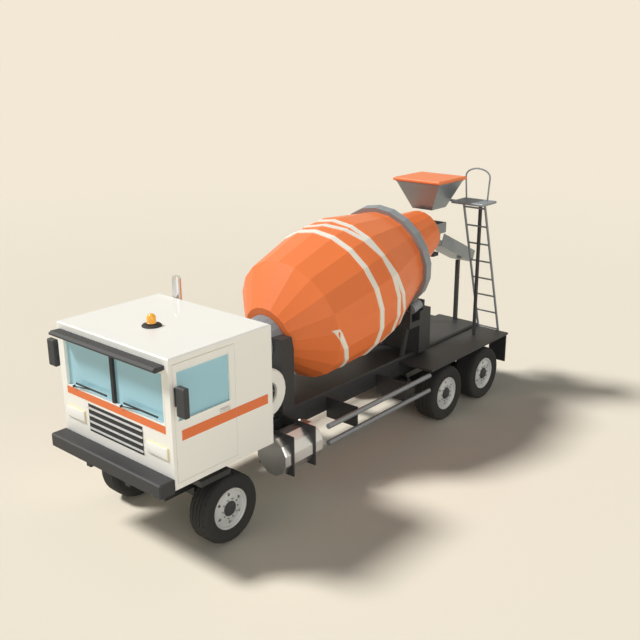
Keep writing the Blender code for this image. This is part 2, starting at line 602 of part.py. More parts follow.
def build_doors():
    front, rear, low, high = WINDOW
    inner = CAB_HALF - CAB_WALL
    for name, side in (("left", 1), ("right", -1)):
        hinge = (side * CAB_HALF, aft(DOOR_FRONT), 0)
        door = block(f"door_{name}", sorted((side * inner, side * CAB_HALF)),
                     (aft(DOOR_FRONT), aft(DOOR_REAR)), (DOOR_LOW, DOOR_HIGH), "cab_paint",
                     origin=hinge)
        mirror = block(f"mirror_{name}", sorted((side * 1.37, side * 1.55)),
                       (aft(-0.01), aft(0.08)), (2.40, 2.82), "trim_plastic", bevel=0.015,
                       origin=hinge)
        base = block("mirror_base", sorted((side * (CAB_HALF + GAP), side * 1.272)),
                     (aft(0.07), aft(0.108)), (2.48, 2.74))
        join(mirror, base, *[rod("arm", (side * 1.261, aft(0.09), z), (side * 1.46, aft(0.03), z),
                                 0.012, 8) for z in (2.52, 2.70)])
        cut(door, block("window_room", sorted((side * (inner - 0.05), side * (CAB_HALF + 0.05))),
                        (aft(front), aft(rear)), (low, high)))
        glass = block(f"door_glass_{name}", sorted((side * 1.205, side * (1.205 + GLASS_THICK))),
                      (aft(front + GAP), aft(rear - GAP)), (low + GAP, high - GAP), "glass",
                      origin=hinge)
        joint_empty(f"door_{name}_axis", hinge, door, glass, mirror)


def build_cabin():
    floor = CAB_LOW + CAB_WALL + GAP
    dashboard = block("dashboard", (-1.12, 1.12), (aft(0.085), aft(0.38)), (1.86, 2.10),
                      "trim_plastic")
    column = rod("column", (0.58, aft(0.33), 1.95), (0.58, aft(0.56), 2.13), 0.03, 10)
    along = Vector((0, 0.23, 0.18)).normalized()
    centre = Vector((0.58, aft(0.56), 2.13))
    wheel = turned("steering_wheel", ((0.19, -0.015), (0.225, -0.015), (0.225, 0.015),
                                      (0.19, 0.015)), centre, along, 20)
    spoke = block("spoke", (0.38, 0.78), (-0.012, 0.012), (-0.008, 0.008))
    spoke.matrix_world = (Matrix.Translation(centre - Vector((0.58, 0, 0)))
                          @ Matrix.Rotation(math.radians(-50), 4, 'X'))
    stand = block("stand", (-0.30, 0.30), (aft(0.085), aft(0.30)), (floor, 1.90))
    join(dashboard, column, wheel, spoke, stand)

    bench = block("seats", (-1.00, 1.00), (aft(1.02), aft(1.60)), (floor, 1.52), "seat_fabric")
    parts = []
    for middle in (-0.60, 0.60):
        x = (middle - 0.26, middle + 0.26)
        parts.append(block("cushion", x, (aft(0.98), aft(1.52)), (1.50, 1.78), bevel=0.03))
        back = ((1.44, 1.70), (1.58, 1.70), (1.74, 2.52), (1.62, 2.52))
        parts.append(extrusion("back", back, lambda y, z: (0, aft(y), z), (x[0], 0, 0),
                               (x[1], 0, 0)))
    join(bench, *parts)


def main():
    for item in list(bpy.data.objects):
        bpy.data.objects.remove(item)
    MATERIALS.update(make_materials())
    build_chassis()
    build_fenders()
    build_pedestals()
    build_rollers()
    build_front_axle()
    build_knuckles()
    build_rear_axles()
    build_wheels()
    build_drum()
    build_hopper()
    build_chute_frame()
    build_collector()
    build_chute()
    build_ladder()
    build_platform()
    build_tanks()
    build_guards()
    build_exhaust()
    build_cab()
    build_doors()
    build_cabin()


MATERIALS = {}

main()
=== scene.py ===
"""The looks of a concrete mixer truck: finishes, wheels, drum bands, cab trim, seats and stage."""
import json
import math

import bmesh
import bpy
from mathutils import Matrix, Vector


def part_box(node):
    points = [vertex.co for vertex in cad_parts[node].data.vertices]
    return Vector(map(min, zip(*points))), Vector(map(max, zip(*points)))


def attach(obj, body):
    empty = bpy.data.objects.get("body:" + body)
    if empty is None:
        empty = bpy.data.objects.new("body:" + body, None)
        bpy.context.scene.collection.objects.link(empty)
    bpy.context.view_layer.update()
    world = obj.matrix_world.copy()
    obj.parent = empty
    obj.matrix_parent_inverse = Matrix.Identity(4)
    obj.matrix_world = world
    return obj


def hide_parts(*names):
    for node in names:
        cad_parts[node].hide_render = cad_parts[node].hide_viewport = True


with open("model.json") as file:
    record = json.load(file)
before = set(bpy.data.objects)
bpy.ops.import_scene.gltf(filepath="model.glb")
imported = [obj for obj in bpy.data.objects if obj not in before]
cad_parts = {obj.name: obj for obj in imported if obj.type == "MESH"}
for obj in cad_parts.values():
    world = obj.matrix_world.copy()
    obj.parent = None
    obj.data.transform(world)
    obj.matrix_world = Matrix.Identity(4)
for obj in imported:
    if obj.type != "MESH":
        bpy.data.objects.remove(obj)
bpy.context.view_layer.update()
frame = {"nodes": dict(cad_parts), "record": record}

bl_info = {
    "name": "Concrete Mixer Truck Looks",
    "version": (1, 0, 0),
    "blender": (4, 5, 0),
    "location": "View3D > Sidebar > Mixer Truck",
    "description": "Finishes and detail pieces for a packed concrete mixer truck",
    "category": "Object",
}

NODES = frame["nodes"]
MM = 0.001
GRILLE_HEIGHTS = (1.655, 1.760, 1.865, 1.970)       # middles of the grille's four bars
GUARD_RADIUS = 0.045
GUARD_CARRIERS = (0.80, 2.22)                       # plates' places behind the guards' front end
CAMERA_PLACE = (9.3812, -10.9098, 6.9792)
CAMERA_TURN, CAMERA_DIP, CAMERA_ROLL = 40.77, 17.94, -0.23         # degrees
LAMPS = (                                           # name, towards it, strength, softness
    ("key", (-0.67, -0.50, 1.0), 3.1, 12),
    ("fill", (0.90, -0.40, 0.10), 1.4, 60),
)


def linear(code):
    """An sRGB hex colour as linear red, green and blue."""
    parts = [int(code[place:place + 2], 16) / 255 for place in (1, 3, 5)]
    return tuple(part / 12.92 if part <= 0.04045 else ((part + 0.055) / 1.055) ** 2.4
                 for part in parts)


def colour(name, description, code):
    return bpy.props.FloatVectorProperty(name=name, description=description, subtype='COLOR',
                                         size=3, min=0.0, max=1.0, default=linear(code))


def length(name, description, default):
    return bpy.props.FloatProperty(name=name, description=description, default=default,
                                   min=0.0, subtype='DISTANCE', unit='LENGTH')


class MixerColours(bpy.types.PropertyGroup):
    """Colours of the truck's finishes."""
    cab: colour("Cab enamel", "Warm white of the cab", "#FBF9F1")
    stripe: colour("Stripe", "Orange of the cab's stripes", "#EE7A3E")
    drum: colour("Drum paint", "Orange of the drum and the hopper's lid", "#F57F3F")
    band: colour("Drum bands", "White of the bands round the drum", "#F4EFE2")
    chassis: colour("Chassis paint", "Near black of frame and pedestals", "#313234")
    machinery: colour("Machinery paint", "Grey of ring, ladder and platform", "#8F969B")
    rubber: colour("Tyre rubber", "Dark grey of the tyres", "#2D2E2F")
    rim: colour("Rim paint", "Light grey of the wheels", "#D6D8D8")
    aluminium: colour("Aluminium", "Bright metal of tank and guards", "#D3D6DB")
    glass: colour("Glass", "Light blue of the cab's glass", "#A8D8E6")
    moulding: colour("Moulded plastic", "Charcoal of mirrors, visor and trim", "#37383A")
    amber: colour("Amber lens", "Amber of the roof beacon", "#FFB02E")
    cloth: colour("Seat cloth", "Dark grey of the seats", "#4A4D52")
    backdrop: colour("Backdrop", "Warm cream of floor and background", "#F2E8D5")


class MixerSizes(bpy.types.PropertyGroup):
    """Sizes of the detail pieces."""
    band_width: length("Band width", "Width of a drum band", 0.100)
    band_height: length("Band height", "How far a drum band stands proud", 0.014)
    tread_depth: length("Tread depth", "Depth of the tyres' shoulder slots", 0.012)
    bolt_radius: length("Bolt radius", "Radius of a frame bolt's head", 0.015)
    stripe_height: length("Stripe height", "How far the cab's stripes stand proud", 0.004)
    seal_width: length("Seal width", "Width of the rubber round the windows", 0.018)
    lens: bpy.props.FloatProperty(name="Camera lens", description="Focal length of the camera",
                                  default=48.19, min=1.0, subtype='DISTANCE_CAMERA')


def colours():
    return bpy.context.scene.mixer_colours


def sizes():
    return bpy.context.scene.mixer_sizes


# ---- materials -----------------------------------------------------------------
def add(tree, kind, inputs=None, **settings):
    """Adds a node; an input's value is either another node's socket or a constant."""
    node = tree.nodes.new(kind)
    for name, value in settings.items():
        setattr(node, name, value)
    for name, value in (inputs or {}).items():
        if isinstance(value, bpy.types.NodeSocket):
            tree.links.new(value, node.inputs[name])
        else:
            node.inputs[name].default_value = value
    return node


def finish(name, base, spread, grain, relief=0.0, dust=0.0, rough_spread=0.08, **shader):
    """A surface with tonal drift, fine grain in metres, relief in metres and road dust low down."""
    made = bpy.data.materials.new(name)
    made.use_nodes = True
    tree = made.node_tree
    principled = tree.nodes["Principled BSDF"]
    place = add(tree, "ShaderNodeTexCoord").outputs["Object"]
    drift = add(tree, "ShaderNodeTexNoise", {"Vector": place, "Scale": 1.7, "Detail": 4.0})
    fine = add(tree, "ShaderNodeTexNoise", {"Vector": place, "Scale": 1.0 / grain, "Detail": 3.0})
    darker = tuple(value * (1 - spread) for value in base)
    paler = tuple(min(1.0, value * (1 + spread)) for value in base)
    tone = add(tree, "ShaderNodeMix", {"Factor": drift.outputs["Fac"], "A": (*darker, 1),
                                       "B": (*paler, 1)}, data_type='RGBA').outputs[2]
    if dust:
        height = add(tree, "ShaderNodeSeparateXYZ", {"Vector": place}).outputs["Z"]
        low = add(tree, "ShaderNodeMapRange", {"Value": height, "From Min": 1.1, "From Max": 0.1,
                                               "To Max": dust}).outputs["Result"]
        share = add(tree, "ShaderNodeMath", {0: low, 1: fine.outputs["Fac"]},
                    operation='MULTIPLY').outputs[0]
        tone = add(tree, "ShaderNodeMix", {"Factor": share, "A": tone,
                                           "B": (*linear("#B5A88E"), 1)},
                   data_type='RGBA').outputs[2]
    tree.links.new(tone, principled.inputs["Base Color"])
    rough = shader.pop("Roughness", 0.5)
    spread_out = add(tree, "ShaderNodeMapRange", {"Value": fine.outputs["Fac"],
                                                  "To Min": rough - rough_spread,
                                                  "To Max": rough + rough_spread})
    tree.links.new(spread_out.outputs["Result"], principled.inputs["Roughness"])
    if relief:
        bump = add(tree, "ShaderNodeBump", {"Height": fine.outputs["Fac"], "Distance": relief,
                                            "Strength": 0.6})
        tree.links.new(bump.outputs["Normal"], principled.inputs["Normal"])
    for socket, value in shader.items():
        principled.inputs[socket.replace("_", " ")].default_value = value
    return made


def brushed(name, base, across):
    """Metal with fine lines: stretched noise runs along the brushing and is tight across it."""
    made = finish(name, base, 0.05, 0.004, Roughness=0.30, Metallic=1.0)
    tree = made.node_tree
    place = tree.nodes["Texture Coordinate"].outputs["Object"]
    scaled = add(tree, "ShaderNodeMapping", {"Vector": place, "Scale": across})
    lines = add(tree, "ShaderNodeTexNoise", {"Vector": scaled.outputs["Vector"], "Scale": 1.0,
                                             "Detail": 2.0})
    bump = add(tree, "ShaderNodeBump", {"Height": lines.outputs["Fac"], "Distance": 0.3 * MM,
                                        "Strength": 0.5})
    tree.links.new(bump.outputs["Normal"], tree.nodes["Principled BSDF"].inputs["Normal"])
    return made


def woven(name, base):
    """Seat cloth: crossing threads, drawn 6 mm apart so that they show through the glass."""
    made = finish(name, base, 0.10, 0.010, Roughness=0.92, rough_spread=0.04)
    tree = made.node_tree
    place = tree.nodes["Texture Coordinate"].outputs["Object"]
    threads = [add(tree, "ShaderNodeTexWave", {"Vector": place, "Scale": 1.0 / (6 * MM) / 20,
                                               "Distortion": 0.4}, bands_direction=way)
               for way in ('X', 'Z')]
    both = add(tree, "ShaderNodeMath", {0: threads[0].outputs["Fac"], 1: threads[1].outputs["Fac"]},
               operation='MULTIPLY')
    bump = add(tree, "ShaderNodeBump", {"Height": both.outputs[0], "Distance": 1.0 * MM})
    principled = tree.nodes["Principled BSDF"]
    tree.links.new(bump.outputs["Normal"], principled.inputs["Normal"])
    principled.inputs["Sheen Weight"].default_value = 0.3
    return made


def make_finishes():
    tint = colours()
    return {
        # two-pack enamel, sprayed and glossy: a faint ripple in the reflections
        "cab": finish("sprayed_cab_enamel", tint.cab, 0.015, 0.030, 0.10 * MM, dust=0.0,
                      Roughness=0.38, Coat_Weight=0.25),
        # the stripes are cut film laid on the enamel
        "stripe": finish("orange_vinyl_film", tint.stripe, 0.03, 0.020, Roughness=0.42),
        # synthetic enamel on rolled plate: satin, with soft drift where plates were filled
        "drum": finish("rolled_plate_drum_paint", tint.drum, 0.05, 0.060, 0.30 * MM,
                       Roughness=0.48, Coat_Weight=0.10),
        "band": finish("brushed_white_band_paint", tint.band, 0.03, 0.030, 0.20 * MM,
                       Roughness=0.50),
        # powder coat: even, near black, with a fine orange peel and road dust low down
        "chassis": finish("chassis_powder_coat", tint.chassis, 0.10, 0.006, 0.20 * MM, dust=0.05,
                          Roughness=0.55),
        # grey machinery enamel over castings and pressed sheet
        "machinery": finish("grey_machinery_enamel", tint.machinery, 0.06, 0.020, 0.30 * MM,
                            dust=0.10, Roughness=0.45, Metallic=0.1),
        # carbon-filled rubber, cured in a mould: matt, pale where dust lies in the grain
        "rubber": finish("cured_tyre_rubber", tint.rubber, 0.12, 0.008, 0.60 * MM, dust=0.08,
                         Roughness=0.86, Specular_IOR_Level=0.3),
        # silver wheel enamel on pressed steel
        "rim": finish("silver_wheel_enamel", tint.rim, 0.05, 0.010, 0.15 * MM, dust=0.15,
                      Roughness=0.40, Metallic=0.25),
        # rolled aluminium, brushed round the tank, and drawn tube, dull from the die
        "tank": brushed("brushed_tank_aluminium", tint.aluminium, (400, 60, 400)),
        "tube": finish("drawn_aluminium_tube", linear("#8F949B"), 0.06, 0.012, 0.10 * MM,
                       Roughness=0.42, Metallic=0.5),
        # pressed sheet steel, worn bright by concrete under a thin grey enamel
        "sheet": finish("worn_sheet_steel", tint.machinery, 0.08, 0.040, 0.30 * MM,
                        Roughness=0.38, Metallic=0.6),
        # chromium over nickel: a near mirror with a slight haze
        "chrome": finish("chromium_plate", linear("#D9D9DA"), 0.02, 0.010, Roughness=0.14,
                         rough_spread=0.04, Metallic=1.0),
        # zinc-plated bolts
        "zinc": finish("zinc_plated_steel", linear("#9DA0A2"), 0.10, 0.003, Roughness=0.40,
                       Metallic=0.9),
        # tinted safety glass: smooth, blue, and lets a little of the cab through
        "glass": finish("tinted_safety_glass", tint.glass, 0.01, 0.050, Roughness=0.08,
                        rough_spread=0.02, Transmission_Weight=0.05, IOR=1.52),
        # polypropylene, moulded with a leather-like grain that scatters the light
        "moulding": finish("grained_polypropylene", tint.moulding, 0.08, 0.003, 0.20 * MM,
                           Roughness=0.60),
        # EPDM rubber seal, extruded: dark, soft sheen
        "seal": finish("extruded_window_rubber", linear("#2B2B2C"), 0.08, 0.004, Roughness=0.70),
        # polycarbonate lens, moulded clear and dyed
        "amber": finish("amber_polycarbonate", tint.amber, 0.03, 0.010, Roughness=0.20,
                        Coat_Weight=0.4, Emission_Color=(*tint.amber, 1),
                        Emission_Strength=0.15),
        "lamp_edge": finish("yellowed_lamp_polycarbonate", linear("#F3E7A8"), 0.02, 0.012,
                            Roughness=0.30),
        "lens": finish("clear_lamp_polycarbonate", linear("#FDFCF6"), 0.02, 0.012, 0.30 * MM,
                       Roughness=0.18, Coat_Weight=0.5),
        "red_lens": finish("red_lamp_polycarbonate", linear("#B3261C"), 0.03, 0.012, 0.30 * MM,
                           Roughness=0.22, Coat_Weight=0.5),
        "silvered": finish("silvered_mirror_glass", linear("#DFE5E8"), 0.01, 0.050,
                           Roughness=0.04, rough_spread=0.01, Metallic=1.0),
        "cloth": woven("woven_seat_cloth", tint.cloth),
    }


FINISHES = {}


# ---- shapes ----------------------------------------------------------------------
def piece(name, mesh, body, finish_name, replaces=(), smooth=None, flip=False):
    """Makes a mesh an object that rides on a body, with its finish."""
    bmesh.ops.remove_doubles(mesh, verts=mesh.verts, dist=0.00002)
    bmesh.ops.recalc_face_normals(mesh, faces=mesh.faces)
    if flip and mesh.calc_volume(signed=True) < 0:
        bmesh.ops.reverse_faces(mesh, faces=mesh.faces)
    data = bpy.data.meshes.new(name)
    mesh.to_mesh(data)
    mesh.free()
    if smooth:
        data.shade_smooth()
        data.set_sharp_from_angle(angle=math.radians(smooth))
    made = bpy.data.objects.new(name, data)
    bpy.context.collection.objects.link(made)
    data.materials.append(FINISHES[finish_name])
    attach(made, body)
    if replaces:
        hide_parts(*replaces)
    return made


def slab(mesh, x, y, z, bevel=0.0, segments=2):
    """A box with rounded edges."""
    corners = bmesh.ops.create_cube(mesh, size=1.0)["verts"]
    bmesh.ops.scale(mesh, vec=[abs(b - a) for a, b in (x, y, z)], verts=corners)
    bmesh.ops.translate(mesh, vec=[(a + b) / 2 for a, b in (x, y, z)], verts=corners)
    if bevel:
        edges = list({edge for corner in corners for edge in corner.link_edges})
        bmesh.ops.bevel(mesh, geom=edges, offset=bevel, segments=segments, profile=0.5,
                        affect='EDGES', material=-1)


def along(place, direction):
    """Matrix that turns local Z to a direction at a place."""
    turn = Vector(direction).to_track_quat('Z', 'Y').to_matrix().to_4x4()
    return Matrix.Translation(Vector(place)) @ turn


def bar(mesh, start, end, radius, sides=12, end_radius=None):
    """A round bar from one place to another."""
    start, end = Vector(start), Vector(end)
    matrix = along((start + end) / 2, end - start)
    bmesh.ops.create_cone(mesh, cap_ends=True, segments=sides, radius1=radius,
                          radius2=radius if end_radius is None else end_radius,
                          depth=(end - start).length, matrix=matrix)


def lathe(mesh, profile, place, direction, steps):
    """Turns (radius, along) points about an axis; a closed profile needs its first point twice."""
    points = [mesh.verts.new((radius, 0, distance)) for radius, distance in profile]
    edges = [mesh.edges.new(pair) for pair in zip(points, points[1:])]
    bmesh.ops.spin(mesh, geom=points + edges, axis=(0, 0, 1), cent=(0, 0, 0),
                   angle=2 * math.pi, steps=steps, use_merge=True)
    matrix = along(place, direction)
    fresh = [vert for vert in mesh.verts if not vert.tag]
    bmesh.ops.transform(mesh, matrix=matrix, verts=fresh)
    for vert in mesh.verts:
        vert.tag = True


def border(mesh, outline, inset, thickness):
    """A flat frame: an outline, a smaller copy of it inside, and a thickness vector."""
    thickness = Vector(thickness)
    middle = sum((Vector(point) for point in outline), Vector()) / len(outline)
    rings = []
    for shift in (Vector(), thickness):
        for shrink in (0.0, inset):
            ring = []
            for point in outline:
                point = Vector(point)
                inwards = Vector([math.copysign(shrink, a) if abs(a) > 1e-6 else 0.0
                                  for a in middle - point])
                ring.append(mesh.verts.new(point + inwards + shift))
            rings.append(ring)
    near_out, near_in, far_out, far_in = rings
    for one, other in ((near_out, near_in), (near_in, far_in), (far_in, far_out),
                       (far_out, near_out)):
        for step in range(len(outline)):
            after = (step + 1) % len(outline)
            mesh.faces.new((one[step], one[after], other[after], other[step]))


def bolts(mesh, places, direction, radius, height):
    """Hexagon heads, each a little chamfered, standing on a surface."""
    direction = Vector(direction).normalized()
    for place in places:
        base = Vector(place)
        bar(mesh, base, base + direction * height * 0.8, radius, 6)
        bar(mesh, base + direction * height * 0.8, base + direction * height, radius, 6,
            radius * 0.82)


# ---- the drum's axis, worked out from its joint -------------------------------------
DRUM_JOINT = next(joint for joint in frame["record"]["behaviour"]["joints"]
                  if joint["name"] == "drum_spin")
DRUM_FOOT = Vector(DRUM_JOINT["pos_m"])
DRUM_AXIS = Vector(DRUM_JOINT["axis"]).normalized()
DRUM_UP = Vector((1, 0, 0)).cross(DRUM_AXIS)
DRUM_SIDES = 20
DRUM_STATIONS = ((0.07, 0.50), (0.61, 1.10), (1.69, 1.25), (2.25, 1.22),
                 (3.22, 0.93), (3.41, 0.93), (3.90, 0.60), (4.57, 0.446))


# the spiral band's corners: turn in degrees, distance along the axis
SPIRAL_PATH = ((4.0, 0.58), (-49.0, 0.95), (-259.0, 1.79), (-345.0, 2.16), (-470.0, 2.62))


def ring_path(distance):
    """Start and end of a band that goes once round the drum."""
    return ((180.0, distance), (-180.0, distance))


def drum_radius(distance):
    """Radius of the drum's corners this far along its axis."""
    for (near, inner), (far, outer) in zip(DRUM_STATIONS, DRUM_STATIONS[1:]):
        if distance <= far:
            return inner + (outer - inner) * (distance - near) / (far - near)
    return DRUM_STATIONS[-1][1]


def drum_point(turn, distance, proud):
    """A point on the faceted drum at a turn in degrees, standing proud of its plates."""
    facet = 360 / DRUM_SIDES
    off = math.radians(turn % facet - facet / 2)
    radius = drum_radius(distance) * math.cos(math.radians(facet / 2)) / math.cos(off) + proud
    angle = math.radians(turn)
    return (DRUM_FOOT + DRUM_AXIS * distance
            + radius * (math.cos(angle) * Vector((1, 0, 0)) + math.sin(angle) * DRUM_UP))


def drum_band(mesh, start, end, width, height):
    """A band from one (turn, distance) to another, folded at each of the drum's corners."""
    facet = 360 / DRUM_SIDES
    turns = [start[0]]
    step = facet / 2
    place = math.floor(start[0] / step) * step
    while place > end[0] + 0.01:
        if place < turns[-1] - 0.01:
            turns.append(place)
        place -= step
    turns.append(end[0])
    rings = []
    for turn in turns:
        share = (turn - start[0]) / (end[0] - start[0])
        distance = start[1] + (end[1] - start[1]) * share
        low, high = distance - width / 2, distance + width / 2
        rings.append([mesh.verts.new(drum_point(turn, low, -0.004)),
                      mesh.verts.new(drum_point(turn, low + 0.006, height)),
                      mesh.verts.new(drum_point(turn, high - 0.006, height)),
                      mesh.verts.new(drum_point(turn, high, -0.004))])
    edges = [mesh.edges.new((ring[corner], ring[(corner + 1) % 4]))
             for ring in rings for corner in range(4)]
    closed = abs(start[0] - end[0]) >= 359.9 and abs(start[1] - end[1]) < 1e-6
    for near, far in zip(rings, rings[1:]):
        loops = [edge for ring in (near, far) for edge in edges
                 if edge.verts[0] in ring and edge.verts[1] in ring]
        bmesh.ops.bridge_loops(mesh, edges=loops)
    if not closed:
        mesh.faces.new(rings[0])
        mesh.faces.new(rings[-1])


# ---- operators ------------------------------------------------------------------------
class MIXER_OT_finishes(bpy.types.Operator):
    """Makes the finishes and lays them on the frame's own solids"""
    bl_idname = "mixer.finishes"
    bl_label = "Finishes"

    def execute(self, context):
        FINISHES.update(make_finishes())
        table = {
            "cab": ("cab_shell", "cab_roof", "door_left", "door_right", "water_tank"),
            "drum": ("drum_front", "drum_belly", "drum_neck", "hopper_lid"),
            "chassis": ("chassis_frame", "sub_frame", "bumper", "front_pedestal",
                        "rear_pedestal", "fender_left", "fender_right", "front_axle",
                        "rear_axles", "chute_frame", "chute_post", "tank_cradle",
                        "platform_post"),
            "machinery": ("engine_block", "drum_gearbox", "roller_left", "roller_right",
                          "knuckle_left", "knuckle_right", "drum_ring", "ladder", "platform"),
            "sheet": ("hopper", "collector", "chute"),
            "tank": ("fuel_tank",),
            "chrome": ("exhaust_stack",),
            "glass": ("windscreen", "door_glass_left", "door_glass_right"),
            "moulding": ("sun_visor", "dashboard", "mirror_left", "mirror_right"),
        }
        for finish_name, names in table.items():
            for name in names:
                NODES[name].material_slots[0].material = FINISHES[finish_name]
        return {'FINISHED'}


class MIXER_OT_drum_bands(bpy.types.Operator):
    """Lays two rings, a spiral and a collar of white bands on the drum"""
    bl_idname = "mixer.drum_bands"
    bl_label = "Drum Bands"

    def execute(self, context):
        width, height = sizes().band_width, sizes().band_height
        for name, path, proud in (("front", ring_path(1.575), height),
                                  ("rear", ring_path(2.075), height),
                                  ("spiral", SPIRAL_PATH, height * 0.9),
                                  ("collar", ring_path(3.485), height)):
            mesh = bmesh.new()
            for start, end in zip(path, path[1:]):
                drum_band(mesh, start, end, width, proud)
            piece(f"drum_band_{name}", mesh, "drum", "band")
        return {'FINISHED'}


class MIXER_OT_tyres(bpy.types.Operator):
    """Moulds the six tyres, with grooves, slotted shoulders and sidewall beads"""
    bl_idname = "mixer.tyres"
    bl_label = "Tyres"

    def execute(self, context):
        depth = sizes().tread_depth
        steps = 80
        for side_name, side in (("left", 1), ("right", -1)):
            for place in ("front", "middle", "rear"):
                low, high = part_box(f"tyre_{place}_{side_name}")
                width = high.x - low.x
                radius = (high.z - low.z) / 2
                shoulder = radius - depth
                groove = 0.012
                tread = [0.055, 0.30 * width, 0.30 * width + groove, 0.5 * width - groove / 2]
                half = [(0.318, 0.045), (0.325, 0.028), (0.36, 0.018), (0.372, 0.012),
                        (0.384, 0.014), (0.43, 0.004), (0.47, 0.000), (0.505, 0.012),
                        (shoulder, 0.034), (radius - 0.002, tread[0]), (radius, tread[1]),
                        (radius - depth, tread[1]), (radius - depth, tread[2]),
                        (radius, tread[2]), (radius, tread[3]), (radius - depth, tread[3])]
                outline = half + [(r, width - distance) for r, distance in reversed(half)]
                mesh = bmesh.new()
                centre = (low + high) / 2
                outer = Vector((centre.x + side * width / 2, centre.y, centre.z))
                lathe(mesh, outline + outline[:1], outer, (-side, 0, 0), steps)
                mesh.faces.ensure_lookup_table()
                slots = []
                for face in mesh.faces:
                    middle = face.calc_center_median()
                    arm = Vector((0, middle.y - outer.y, middle.z - outer.z))
                    reach = abs(middle.x - outer.x)
                    reach = min(reach, width - reach)
                    if 0.034 < reach < tread[1] and arm.length > shoulder - 0.004:
                        step = int(round(math.degrees(math.atan2(arm.z, arm.y)) / (360 / steps)
                                         - 0.5))
                        if step % 3 == 0 and reach < tread[0]:
                            slots.append((face, arm.normalized()))
                made = bmesh.ops.extrude_discrete_faces(mesh, faces=[face for face, _ in slots])
                for face, (_, arm) in zip(made["faces"], slots):
                    bmesh.ops.translate(mesh, vec=-arm * depth * 0.8, verts=face.verts)
                piece(f"tyre_tread_{place}_{side_name}", mesh, f"wheel_{place}_{side_name}",
                      "rubber", (f"tyre_{place}_{side_name}",), smooth=35)
        return {'FINISHED'}


class MIXER_OT_rims(bpy.types.Operator):
    """Presses the six wheels, with hand holes, nuts and a dark hub cap each"""
    bl_idname = "mixer.rims"
    bl_label = "Rims"

    def execute(self, context):
        for side_name, side in (("left", 1), ("right", -1)):
            for place in ("front", "middle", "rear"):
                self.rim(place, side_name, side)
        return {'FINISHED'}

    def rim(self, place, side_name, side):
        low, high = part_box(f"rim_{place}_{side_name}")
        tyre_low, tyre_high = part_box(f"tyre_{place}_{side_name}")
        centre = (low + high) / 2
        width = tyre_high.x - tyre_low.x
        face_x = tyre_high.x if side > 0 else tyre_low.x
        outer = Vector((face_x, centre.y, centre.z))
        inwards = (-side, 0, 0)
        body = f"wheel_{place}_{side_name}"
        mesh = bmesh.new()
        outline = [(0.0, 0.042), (0.150, 0.042), (0.165, 0.046), (0.215, 0.052), (0.262, 0.062),
                   (0.280, 0.058), (0.290, 0.030), (0.300, 0.024), (0.318, 0.024),
                   (0.318, 0.046), (0.310, 0.060), (0.310, width - 0.03), (0.300, width - 0.02),
                   (0.285, width - 0.02), (0.285, 0.085), (0.260, 0.080), (0.130, 0.075),
                   (0.130, 0.205), (0.058, 0.205), (0.058, 0.090), (0.0, 0.090)]
        lathe(mesh, outline, outer, inwards, 48)
        rim = piece(f"wheel_disc_{place}_{side_name}", mesh, body, "rim",
                    (f"rim_{place}_{side_name}",), smooth=30, flip=True)
        holes = bmesh.new()
        count = 6
        for index in range(count):
            turn = 2 * math.pi * (index + 0.5) / count
            arm = Vector((0, math.cos(turn), math.sin(turn))) * 0.222
            bar(holes, outer + arm + Vector(inwards) * 0.02, outer + arm + Vector(inwards) * 0.12,
                0.026, 20)
        carve(rim, holes)

        nuts = bmesh.new()
        places = []
        count = 10
        for index in range(count):
            turn = 2 * math.pi * index / count
            arm = Vector((0, math.cos(turn), math.sin(turn))) * 0.148
            places.append(outer + arm + Vector(inwards) * 0.043)
        bolts(nuts, places, (side, 0, 0), 0.013, 0.020)
        piece(f"wheel_nuts_{place}_{side_name}", nuts, body, "zinc")

        cap = bmesh.new()
        lathe(cap, [(0.0, 0.006), (0.070, 0.008), (0.092, 0.016), (0.098, 0.030),
                    (0.112, 0.034), (0.118, 0.0415), (0.0, 0.0415)], outer, inwards, 32)
        piece(f"hub_cap_{place}_{side_name}", cap, body, "moulding", smooth=35,
              flip=True)


def carve(target, cutter_mesh):
    """Cuts a mesh out of a piece for good, and removes the cutter."""
    bmesh.ops.recalc_face_normals(cutter_mesh, faces=cutter_mesh.faces)
    data = bpy.data.meshes.new("cutter")
    cutter_mesh.to_mesh(data)
    cutter_mesh.free()
    cutter = bpy.data.objects.new("cutter", data)
    bpy.context.collection.objects.link(cutter)
    modifier = target.modifiers.new("carve", 'BOOLEAN')
    modifier.operation = 'DIFFERENCE'
    modifier.solver = 'EXACT'
    modifier.object = cutter
    bpy.context.view_layer.update()
    graph = bpy.context.evaluated_depsgraph_get()
    carved = bpy.data.meshes.new_from_object(target.evaluated_get(graph))
    target.modifiers.remove(modifier)
    target.data = carved
    bpy.data.objects.remove(cutter)


